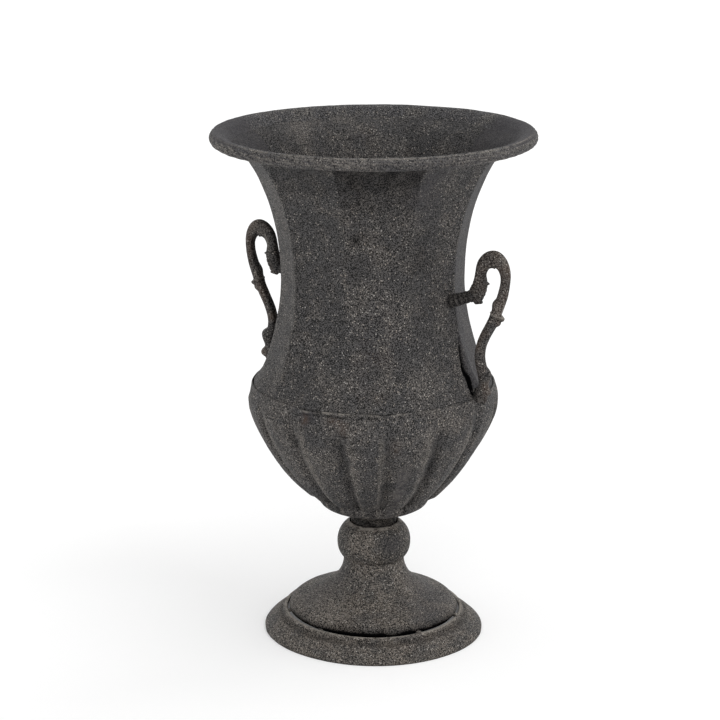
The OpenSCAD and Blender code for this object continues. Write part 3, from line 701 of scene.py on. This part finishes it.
def rope():
    """Six strands round the mouth, worn almost smooth on one side, rolled into a lip on top."""
    steps = ROPE_TURNS * 16
    turns = (np.arange(steps) * 2 * math.pi / steps)[:, None]
    section, angle, follow = rim_section()
    around = np.radians(angle)[None, :]
    lay = (around + turns * ROPE_TURNS / ROPE_STRANDS) * ROPE_STRANDS / (2 * math.pi)
    x = 2 * (lay - np.floor(lay + 0.5))
    degrees = np.degrees(turns)
    stranded = ease((62 - angle) / 24) * ease((angle + 170) / 20)
    worn = 1 - 0.75 * np.exp(-(away(degrees, 12) / 38) ** 2) - 0.3 * np.exp(-(away(degrees, -40) / 25) ** 2)
    depth = stranded[None, :] * worn
    out = -ROPE_GROOVE * depth * (0.7 * x * x + 0.3 * np.abs(x))
    out = out - 0.0005 * hump(angle, 48, 12)[None, :] * (1 - 0.5 * near(degrees, FRONT_TURN, 70))
    knocks = noise(np.concatenate([degrees / 4.2, 0 * degrees, 0 * degrees], 1), 1, 3)[:, None]
    out = out + 0.0009 * near(degrees, -146, 26) * hump(angle, -70, 60)[None, :] * knocks
    normal = left_of(section)
    sheet_out, sheet_up = neck_warp(degrees, section[:, 0][None, :], section[:, 1][None, :])
    r = section[:, 0][None, :] + normal[:, 0][None, :] * out + follow * sheet_out
    z = section[:, 1][None, :] + normal[:, 1][None, :] * out + follow * sheet_up
    z = z - 0.0008 * near(degrees, 123, 80)
    grid = np.stack([r * np.cos(turns), r * np.sin(turns), z + 0 * turns], axis=-1)
    normals = grid_normals(grid)
    outer_point = 10
    away_from_axis = np.concatenate([np.cos(turns), np.sin(turns), 0 * turns], 1)
    outward = np.sign(np.mean(normals[:, outer_point] * away_from_axis))
    grid = grid + outward * normals * (hand_made(grid, 31, 0.0003, 0.0002, 0.00006) - 0.0002)[..., None]
    crest = np.clip(1 - np.abs(x) * 1.6, 0, 1) * depth
    facing = np.abs(away(degrees, FRONT_TURN))
    ends = ease((facing - 52) / 22) * ease((128 - facing) / 22)
    front = ease((70 - facing) / 25)
    above = np.maximum(ease((angle - 30) / 18), ease(3 * follow))[None, :]
    below = 1 - above
    # Painted highlight along the lip's crest, mostly in front, and a painted glint on the lip at the right
    # end
    lip = hump(angle, 62, 16)[None, :] * (front + 0.3 * ends)
    lip = lip + 1.3 * hump(angle, 74, 12)[None, :] * near(degrees, 8, 17)
    along, across = degrees / 9 + angle / 40, angle / 9 + degrees / 14
    streaks = noise(np.stack([along, across, 0 * along], -1), 1, 17)
    smooth = above * ease((facing - 50) / 10) * ease((128 - facing) / 15) + 0.35 * front * below
    soot = 0.04 + above * (0.06 * ease((facing - 110) / 30) + 0.08 * ends)
    marks = {
        "smooth": np.clip(smooth, 0, 1),
        "soot": soot + 0.2 * np.clip(-streaks, 0, 1) * below,
        "wear": 0.4 * crest + 0.95 * lip + 0.6 * np.clip(streaks, 0, 1) * below * front,
        "dust": (0.6 * streaks + 0.25) * below + 0.5 * near(degrees, -68, 22) * below,
    }
    return grid_mesh("rope_rim", grid, marks)


# Handles

def handle_path():
    """The handle's middle line, and each point's place along it counted in bends."""
    corner = np.array([NECK_FOOT_R, SEAM_Z])
    points = [corner + p for p in (HEAD_TIP, HEAD_BACK, CROWN, HOOK, LEAF, STEM_IN, STEM_LOW, STEM_END)]
    pulls = (
        ((0.35, 0.3), (0, 0.35)), ((0, 0.55), (0.55, 0)), ((0.5, 0), (0, 0.5)), ((0, 0.33), (0.36, 0.28)),
        ((0.36, 0.32), (0, 0.4)), ((0, 0.35), (0.05, 0.4)), ((0, 0.35), (0.35, 0.3)),
    )
    bends = [bend(a, b, *pull, 0.0007) for a, b, pull in zip(points, points[1:], pulls)]
    places = np.concatenate([np.linspace(i, i + 1, len(b))[min(i, 1):] for i, b in enumerate(bends)])
    return joined(*bends), places


# Swellings of the handle: place along the path in bends, reach, more in its plane, more across
HANDLE_SWELLS = (
    (0, 0.2, -0.0020, -0.0022), (0.6, 0.62, 0.0038, 0.0016), (1.9, 1.3, 0.0032, 0.0006),
    (3.8, 0.9, 0.0008, 0.0009), (5.2, 1.5, 0.0009, 0.0008), (7, 1, 0.0032, 0.0016),
)
# Lumps on one side: place, side in degrees (0 is outward on the stem), reach, sharpness, height
HANDLE_LUMPS = (
    (0.10, 180, 0.12, 2, 0.0036), (0.36, 0, 0.42, 1, 0.0024), (0.83, 180, 0.055, 3, 0.0034),
    (2.0, 180, 0.62, 3, 0.0034), (3.66, 180, 0.18, 2, 0.0022), (3.91, 0, 0.085, 3, 0.0050),
    (4.03, 0, 0.13, 3, 0.0030), (5.72, 0, 0.34, 2, 0.0040), (6.4, 0, 0.26, 2, 0.0040),
)


def handle(name, half_turn):
    """A cast scroll: a head wound with cord, a crown, a leaf, two buds and a foot.

    The one that is turned by half is a little lower, with bigger buds low down and painted shade on its side
    toward the neck.
    """
    path, places = handle_path()
    side = left_of(path)
    sides = 56
    around = (np.arange(sides) * 2 * math.pi / sides)[None, :]
    place = places[:, None]
    in_plane = STEM_R + sum(more * hump(place, at, reach) for at, reach, more, _ in HANDLE_SWELLS)
    across = STEM_R + sum(more * hump(place, at, reach) for at, reach, _, more in HANDLE_SWELLS)
    extra = 0
    for at, facing, reach, sharp, height in HANDLE_LUMPS:
        if half_turn and at > 5:
            at, reach, height = at - 0.14, reach * 1.2, height * 1.6
        toward = np.clip(np.cos(around - math.radians(facing)), 0, 1) ** sharp
        extra = extra + height * hump(place, at, reach) * toward
    run = run_of(path)[:, None]
    head = ease((place - 0.02) / 0.1) * ease((0.9 - place) / 0.06)
    cord = np.abs(np.sin(run * math.pi / 0.0046 + 1.0 * np.cos(around)))
    extra = extra - head * 0.0007 * (1 - cord) ** 2
    extra = extra + 0.0010 * hump(place, 3.88, 0.03)
    end_round = np.sqrt(np.clip(1 - (1 - run / 0.006) ** 2, 0.02, 1)) * (run < 0.006) + (run >= 0.006)
    u = (in_plane + extra) * end_round * np.cos(around)
    v = (across + extra * 0.6) * end_round * np.sin(around)
    grid = np.stack([path[:, :1] + side[:, :1] * u, v, path[:, 1:] + side[:, 1:] * u], axis=-1)
    normal = grid_normals(grid, closed_rows=False)
    center = np.stack([path[:, :1] + 0 * u, 0 * u, path[:, 1:] + 0 * u], axis=-1)
    normal *= np.sign(np.sum(normal * (grid - center), axis=-1, keepdims=True))
    grid = grid + normal * hand_made(grid, 41 + half_turn, 0.0002, 0.00028, 0.00008)[..., None]
    if half_turn:
        grid = grid * np.array([-1, -1, 1]) - np.array([0, 0, 0.0012])
    blots = noise(grid, 70, 61 + half_turn)
    brown = np.clip(0.5 * blots, 0, 0.5) * ease((place - 0.9) / 0.4) + 0.45 * hump(place, 2.75, 0.45)
    # Painted light on the crown's outward side, over dusty blots
    dust = 0.8 * hump(place, 2.3, 0.7) * (0.4 + 0.6 * np.cos(around)) + 0.6 * hump(place, 3.7, 0.3)
    dust = dust + 0.5 * blots
    # A painted highlight along the crown's outward side and a pale line on the collar ring
    wear = 0.9 * hump(place, 3.87, 0.03) + 0.65 * hump(place, 2.4, 0.5) * np.clip(np.cos(around), 0, 1)
    # Darker over the head, with painted shade under the collar ring and at the foot against the bowl
    dark = 0.2 * hump(place, 0, 1.2) + 0.5 * hump(place, 3.94, 0.03) + 0.25 * hump(place, 6.9, 0.7)
    if half_turn:
        # Painted shade on the side toward the neck, and a painted highlight along the crown
        under = np.cos(around - np.where(place < 2, 0, math.pi))
        dark = dark + 0.8 * ease((under - np.where(place < 2, 0.6, 0.4)) / 0.4)
        wear = np.maximum(wear, 0.7 * hump(place, 1.4, 0.9) * hump(under, -0.3, 0.5))
    marks = {"wear": wear, "stain": brown, "dust": dust, "soot": np.clip(dark, 0, 0.92)}
    return grid_mesh(name, grid, marks, closed_rows=False)


def peg(name, half_turn):
    """The rough round peg between the neck's wall and the handle's head."""
    start = np.array([NECK_FOOT_R + PEG_SEAT[0], SEAM_Z + PEG_SEAT[1]])
    slope = math.radians(PEG_SLOPE)
    ahead = np.array([math.cos(slope), math.sin(slope)])
    reach = (start[0] - WAIST_R + PEG_INTO) / ahead[0]
    along = np.linspace(-reach, PEG_INTO, 46)[:, None]
    around = (np.arange(40) * 2 * math.pi / 40)[None, :]
    cord = np.abs(np.sin(along * math.pi / 0.0060 + 1.2 * np.sin(around)))
    flare = 0.0004 * hump(along, 0, 0.006) + 0.0008 * hump(along, -reach + 0.008, 0.012)
    r = PEG_R + 0.0010 - 0.0009 * (1 - cord) ** 2 + flare
    spine_x = start[0] + ahead[0] * along
    spine_z = start[1] + ahead[1] * along
    x = spine_x - ahead[1] * r * np.cos(around)
    z = spine_z + ahead[0] * r * np.cos(around)
    grid = np.stack([x, r * np.sin(around), z], axis=-1)
    spine = np.stack([spine_x + 0 * r, 0 * r, spine_z + 0 * r], axis=-1)
    out = grid - spine
    out /= np.linalg.norm(out, axis=-1, keepdims=True)
    grid = grid + out * hand_made(grid, 51 + half_turn, 0.0002, 0.0003, 0.0001)[..., None]
    if half_turn:
        grid = grid * np.array([-1, -1, 1])
    marks = {"wear": 0.25 * (cord > 0.9), "soot": 0.72 - 0.3 * cord ** 3}
    return grid_mesh(name, grid, marks, closed_rows=False)


def tacks():
    """Weld beads that bridge the gap between the bell's edge and the ring's lip."""
    points, faces = [], []
    rows, columns = 9, 14
    middle_r, middle_z = BELL_HIGH.x + TACK_GAP / 2, RING_HIGH.z - 0.0004
    for number, turn in enumerate(t + half for t in TACK_TURNS for half in (0, 180)):
        angle = math.radians(turn)
        start = len(points)
        for i in range(rows):
            lift = math.pi * (i + 0.5) / rows
            for k in range(columns):
                spin = 2 * math.pi * k / columns
                outward, sideways, upward = TACK_REACH
                outward *= math.sin(lift) * math.cos(spin)
                sideways *= math.sin(lift) * math.sin(spin)
                local = np.array([outward, sideways, upward * math.cos(lift)])
                local = local * (1 + 0.25 * noise(local + number, 700, number))
                r = middle_r + local[0]
                points.append((r * math.cos(angle) - local[1] * math.sin(angle),
                               r * math.sin(angle) + local[1] * math.cos(angle), middle_z + local[2]))
        ring = [[start + i * columns + k for k in range(columns)] for i in range(rows)]
        for a, b in zip(ring, ring[1:]):
            faces += [(a[k], b[k], b[(k + 1) % columns], a[(k + 1) % columns]) for k in range(columns)]
        faces += [tuple(ring[0]), tuple(reversed(ring[-1]))]
    mesh = bpy.data.meshes.new("tack_welds")
    mesh.from_pydata(points, [], faces)
    mesh.attributes.new("wear", "FLOAT", "POINT").data.foreach_set("value", [0.5] * len(points))
    mesh.shade_smooth()
    return placed("tack_welds", mesh)


# Materials

class Nodes:
    """Short calls that add shader nodes to one material."""

    def __init__(self, name):
        self.material = bpy.data.materials.new(name)
        self.material.use_nodes = True
        self.tree = self.material.node_tree
        self.shader = self.tree.nodes["Principled BSDF"]
        self.place = self.add("ShaderNodeTexCoord").outputs["Object"]

    def add(self, kind, **settings):
        node = self.tree.nodes.new(kind)
        for key, value in settings.items():
            setattr(node, key, value)
        return node

    def feed(self, value, socket):
        if isinstance(value, bpy.types.NodeSocket):
            self.tree.links.new(value, socket)
        else:
            socket.default_value = value

    def noise(self, scale, detail=2.0, roughness=0.55):
        node = self.add("ShaderNodeTexNoise")
        self.feed(self.place, node.inputs["Vector"])
        for key, value in (("Scale", scale), ("Detail", detail), ("Roughness", roughness)):
            node.inputs[key].default_value = value
        return node.outputs["Fac"]

    def cells(self, scale):
        node = self.add("ShaderNodeTexVoronoi", feature="F1")
        self.feed(self.place, node.inputs["Vector"])
        node.inputs["Scale"].default_value = scale
        return node.outputs["Distance"], node.outputs["Color"]

    def spread(self, value, low, high, to_low=0.0, to_high=1.0):
        node = self.add("ShaderNodeMapRange", interpolation_type="SMOOTHSTEP")
        keys = ("Value", "From Min", "From Max", "To Min", "To Max")
        for key, item in zip(keys, (value, low, high, to_low, to_high)):
            self.feed(item, node.inputs[key])
        return node.outputs["Result"]

    def math(self, operation, a, b):
        node = self.add("ShaderNodeMath", operation=operation)
        self.feed(a, node.inputs[0])
        self.feed(b, node.inputs[1])
        return node.outputs[0]

    def mix(self, share, a, b):
        node = self.add("ShaderNodeMix", data_type="RGBA")
        self.feed(share, node.inputs["Factor"])
        self.feed(a, node.inputs["A"])
        self.feed(b, node.inputs["B"])
        return node.outputs["Result"]

    def mark(self, name):
        return self.add("ShaderNodeAttribute", attribute_name=name).outputs["Fac"]


def rgb(red, green, blue):
    return (red, green, blue, 1.0)


# Sanded irons: dark, light and cream grains, share of brown, grains to the metre, more specks
IRONS = {
    "iron_body": ((0.001, 0.001, 0.001), (0.076, 0.0725, 0.0725), (0.108, 0.0985, 0.092), 0.10, 880, 0.0),
    "iron_rim": ((0.002, 0.002, 0.0022), (0.094, 0.091, 0.0945), (0.122, 0.114, 0.107), 0.05, 880, 0.0),
    "iron_foot": ((0.001, 0.001, 0.001), (0.098, 0.0905, 0.084), (0.143, 0.124, 0.106), 0.15, 860, 0.14),
    "iron_handle": ((0.003, 0.0027, 0.0025), (0.078, 0.073, 0.070), (0.115, 0.099, 0.088), 0.35, 760, 0.0),
    "iron_screw": ((0.001, 0.001, 0.001), (0.012, 0.012, 0.012), (0.02, 0.019, 0.018), 0.2, 880, 0.0),
}
# Colours of the bare coat and of what lies on it; the soot, dust and worn colours also paint shade, light
# and highlights
PLAIN_DARK, PLAIN_LIGHT = rgb(0.0275, 0.0258, 0.029), rgb(0.0475, 0.0443, 0.0487)
DUST_AND_LIGHT_COLOUR, SOOT_AND_SHADE_COLOUR = rgb(0.19, 0.17, 0.15), rgb(0.002, 0.002, 0.0022)
RUST, WORN_AND_HIGHLIGHT_COLOUR = rgb(0.062, 0.036, 0.023), rgb(0.23, 0.21, 0.185)
SPECK_WARM, SPECK_PALE = rgb(0.35, 0.30, 0.25), rgb(0.45, 0.43, 0.405)


def sanded_iron(name):
    """Iron under a thin coat full of sand: dark and light grains, cream specks and the painted marks: rust,
    soot with painted shade, dust with painted light, and wear with painted highlights.
    """
    dark, light, cream, brown_share, grains, more_specks = IRONS[name]
    n = Nodes(name)
    fine = n.noise(grains, 1.0, 0.5)
    coarse = n.noise(330, 2.0, 0.5)
    cloud = n.noise(42, 3.5, 0.6)
    dust = n.mark("dust")
    worn_smooth = n.mark("smooth")
    rough = n.math("SUBTRACT", 1.0, worn_smooth)
    tone = n.math("ADD", n.math("MULTIPLY", fine, 0.86), n.math("MULTIPLY", coarse, 0.14))
    cloud = n.math("ADD", cloud, n.math("MULTIPLY", dust, 0.22))
    share = n.spread(n.math("ADD", tone, n.math("MULTIPLY", dust, 0.02)), 0.446, 0.562)
    grain = n.mix(n.spread(cloud, 0.38, 0.68), rgb(*light), rgb(*cream))
    # Dust and painted light pale the grains
    grain = n.mix(n.spread(dust, 0.1, 1.2, 0.0, 0.5), grain, DUST_AND_LIGHT_COLOUR)
    body = n.mix(share, rgb(*dark), grain)
    plain = n.mix(n.spread(coarse, 0.35, 0.65), PLAIN_DARK, PLAIN_LIGHT)
    body = n.mix(n.math("MULTIPLY", worn_smooth, 0.85), body, plain)
    distance, pick = n.cells(640)
    chosen = n.add("ShaderNodeSeparateColor")
    n.feed(pick, chosen.inputs[0])
    rarity = n.spread(cloud, 0.35, 0.72, 0.93 - more_specks, 0.62 - more_specks)
    rare = n.spread(chosen.outputs[0], rarity, 1.0)
    speck = n.math("MULTIPLY", n.math("MULTIPLY", n.spread(distance, 0.55, 0.2), rare), rough)
    speck = n.math("MULTIPLY", speck, n.spread(n.mark("soot"), 0.05, 0.5, 1.0, 0.25))
    body = n.mix(speck, body, n.mix(chosen.outputs[1], SPECK_WARM, SPECK_PALE))
    brown = n.math("MULTIPLY", n.spread(n.noise(16, 4.0, 0.65), 0.52, 0.74), brown_share)
    brown = n.math("MAXIMUM", brown, n.mark("stain"))
    brown = n.math("MULTIPLY", brown, n.spread(tone, 0.38, 0.56, 1.0, 0.5))
    body = n.mix(brown, body, RUST)
    # Soot and painted shade darken the colour
    soot_and_shade_share = n.math("MULTIPLY", n.mark("soot"), n.spread(tone, 0.38, 0.62, 1.0, 0.7))
    body = n.mix(soot_and_shade_share, body, SOOT_AND_SHADE_COLOUR)
    # Wear and painted highlights lighten the colour
    rubbed_and_highlit = n.math("MULTIPLY", n.mark("wear"), n.spread(n.noise(170, 3.0, 0.6), 0.36, 0.6))
    body = n.mix(n.math("MULTIPLY", rubbed_and_highlit, 0.6), body, WORN_AND_HIGHLIGHT_COLOUR)
    n.feed(body, n.shader.inputs["Base Color"])
    n.feed(n.spread(tone, 0.3, 0.7, 0.78, 0.55), n.shader.inputs["Roughness"])
    gloss = n.spread(worn_smooth, 0.0, 1.0, 0.27, 0.2)
    n.feed(n.math("MULTIPLY", n.math("SUBTRACT", 1.0, soot_and_shade_share), gloss), n.shader.inputs["Specular IOR Level"])
    bump = n.add("ShaderNodeBump")
    grainy = n.math("SUBTRACT", 1.0, n.math("MULTIPLY", worn_smooth, 0.7))
    n.feed(n.math("MULTIPLY", tone, grainy), bump.inputs["Height"])
    bump.inputs["Strength"].default_value = 0.9
    bump.inputs["Distance"].default_value = 0.0008
    n.feed(bump.outputs["Normal"], n.shader.inputs["Normal"])
    return n.material


def zinc():
    """Dull zinc plate on screws, washers and nuts."""
    n = Nodes("zinc_plate")
    tone = n.noise(320, 3.0, 0.6)
    body = n.mix(n.spread(tone, 0.35, 0.65), rgb(0.16, 0.155, 0.145), rgb(0.34, 0.33, 0.31))
    dirt = n.spread(n.noise(60, 3.0, 0.6), 0.45, 0.7)
    n.feed(n.mix(dirt, body, rgb(0.07, 0.055, 0.045)), n.shader.inputs["Base Color"])
    n.feed(n.spread(tone, 0.3, 0.7, 0.4, 0.62), n.shader.inputs["Roughness"])
    n.shader.inputs["Metallic"].default_value = 0.8
    return n.material


def white_to_camera(tree, light, target):
    """Feeds a strength of 1 to the camera and to reflections, and of light to all else."""
    path = tree.nodes.new("ShaderNodeLightPath")
    seen = path.outputs["Is Camera Ray"]
    for key in ("Is Glossy Ray", "Is Transmission Ray"):
        both = tree.nodes.new("ShaderNodeMath")
        both.operation = "MAXIMUM"
        tree.links.new(seen, both.inputs[0])
        tree.links.new(path.outputs[key], both.inputs[1])
        seen = both.outputs[0]
    strength = tree.nodes.new("ShaderNodeMapRange")
    strength.inputs["To Min"].default_value = light
    strength.inputs["To Max"].default_value = 1.0
    tree.links.new(seen, strength.inputs["Value"])
    tree.links.new(strength.outputs["Result"], target)


# Floor, light and camera

FLOOR_SIZE = 60.0
SKY_LIGHT = 0.76
FLOOR_GLOW = 0.1
# Lamps: degrees to the camera's right, degrees above the floor, power
LAMPS = {"key_light": (55, 50, 0.6), "back_light": (125, 45, 0.37), "front_light": (0, 30, 0.62)}
LAMP_SOFTNESS = 40


def floor():
    half = FLOOR_SIZE / 2
    mesh = bpy.data.meshes.new("floor")
    corners = [(-half, -half, 0), (half, -half, 0), (half, half, 0), (-half, half, 0)]
    mesh.from_pydata(corners, [], [(0, 1, 2, 3)])
    piece = placed("floor", mesh)
    material = bpy.data.materials.new("floor_white")
    material.use_nodes = True
    shader = material.node_tree.nodes["Principled BSDF"]
    shader.inputs["Base Color"].default_value = rgb(0.93, 0.93, 0.93)
    shader.inputs["Roughness"].default_value = 0.9
    shader.inputs["Specular IOR Level"].default_value = 0.1
    shader.inputs["Emission Color"].default_value = rgb(1, 1, 1)
    glow(material.node_tree, FLOOR_GLOW, shader.inputs["Emission Strength"])
    mesh.materials.append(material)


def glow(tree, strength, target):
    """Feeds a strength that only the camera sees. It lifts the lit floor to white and keeps its shadow."""
    path = tree.nodes.new("ShaderNodeLightPath")
    share = tree.nodes.new("ShaderNodeMath")
    share.operation = "MULTIPLY"
    share.inputs[1].default_value = strength
    tree.links.new(path.outputs["Is Camera Ray"], share.inputs[0])
    tree.links.new(share.outputs[0], target)


def sky():
    world = bpy.data.worlds.new("sky")
    world.use_nodes = True
    background = world.node_tree.nodes["Background"]
    background.inputs["Color"].default_value = rgb(1, 1, 1)
    white_to_camera(world.node_tree, SKY_LIGHT, background.inputs["Strength"])
    bpy.context.scene.world = world


def sun(name, turn, height, power):
    """A soft far lamp."""
    light = bpy.data.lights.new(name, "SUN")
    light.energy = power
    light.angle = math.radians(LAMP_SOFTNESS)
    lamp = placed(name, light)
    azimuth = math.radians(FRONT_TURN + turn)
    rise = math.radians(height)
    toward = Vector((math.cos(azimuth) * math.cos(rise), math.sin(azimuth) * math.cos(rise), math.sin(rise)))
    lamp.rotation_euler = toward.to_track_quat("Z", "Y").to_euler()


def camera():
    data = bpy.data.cameras.new("camera")
    data.sensor_width = SENSOR_MM
    data.lens = LENS_MM
    data.clip_end = 200
    piece = placed("camera", data)
    pitch, yaw, roll = (math.radians(a) for a in (CAMERA_PITCH, CAMERA_YAW, CAMERA_ROLL))
    ahead = Vector((math.sin(yaw) * math.cos(pitch), math.cos(yaw) * math.cos(pitch), -math.sin(pitch)))
    level = Vector((math.cos(yaw), -math.sin(yaw), 0))
    upward = level.cross(ahead)
    right = level * math.cos(roll) + upward * math.sin(roll)
    axes = Matrix((right, right.cross(ahead), -ahead)).transposed().to_4x4()
    axes.translation = Vector((0, -CAMERA_DISTANCE, CAMERA_HEIGHT))
    piece.matrix_world = Matrix.Rotation(math.radians(CAMERA_TURN), 4, "Z") @ axes
    bpy.context.scene.camera = piece


# The urn

FASTENERS = (
    "peg_screws", "peg_washers", "foot_screws", "foot_washers", "tie_rod",
    "bowl_washer", "bowl_nut", "bell_washer", "bell_nut",
)


def build():
    body, rim, foot, cast, coated = (sanded_iron(name) for name in IRONS)
    plate = zinc()

    neck = revolved("neck", neck_line(), 1000, neck_warp, 1, 1.0, neck_marks, 0.0, 0.0022)
    dress(neck, "neck_iron", body, "neck_shell")
    bowl = revolved("bowl", bowl_line(), 1000, bowl_warp, 4, 1.3, bowl_marks, 0.15, 0.0022)
    dress(bowl, "bowl_iron", body, "bowl_shell")
    dress(rope(), "rope_iron", rim, "rim_rope")
    # Name, outline, columns, warp, seed, roughness, marks, wear of the edges, node
    foot_pieces = (
        ("foot_ring", ring_line(), 620, foot_wave, 7, 0.8, ring_marks, 0.2, "base_ring"),
        ("foot_bell", bell_line(), 560, foot_wave, 9, 0.8, bell_marks, 0.0, "bell_foot"),
        ("foot_knop", knop_line(), 300, None, 11, 0.8, knop_marks, 0.0, "knop"),
        ("foot_collar", collar_line(), 220, None, 13, 0.4, collar_marks, 0.3, "bowl_collar"),
    )
    for *form, node in foot_pieces:
        dress(revolved(*form), "foot_iron", foot, node)
    dress(tacks(), "foot_iron", foot, "bell_tacks")
    dress(handle("scroll_right", 0), "handle_iron", cast, "handle_right")
    dress(handle("scroll_left", 1), "handle_iron", cast, "handle_left")
    for half_turn, name in enumerate(("peg_right", "peg_left")):
        dress(peg(name, half_turn), "handle_iron", body, "handle_pegs")
    for node in FASTENERS:
        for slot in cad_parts[node].material_slots:
            slot.material = coated if node == "foot_screws" else plate


build()
floor()
sky()
for lamp, place in LAMPS.items():
    sun(lamp, *place)
camera()
bpy.context.scene.view_settings.view_transform = "Standard"
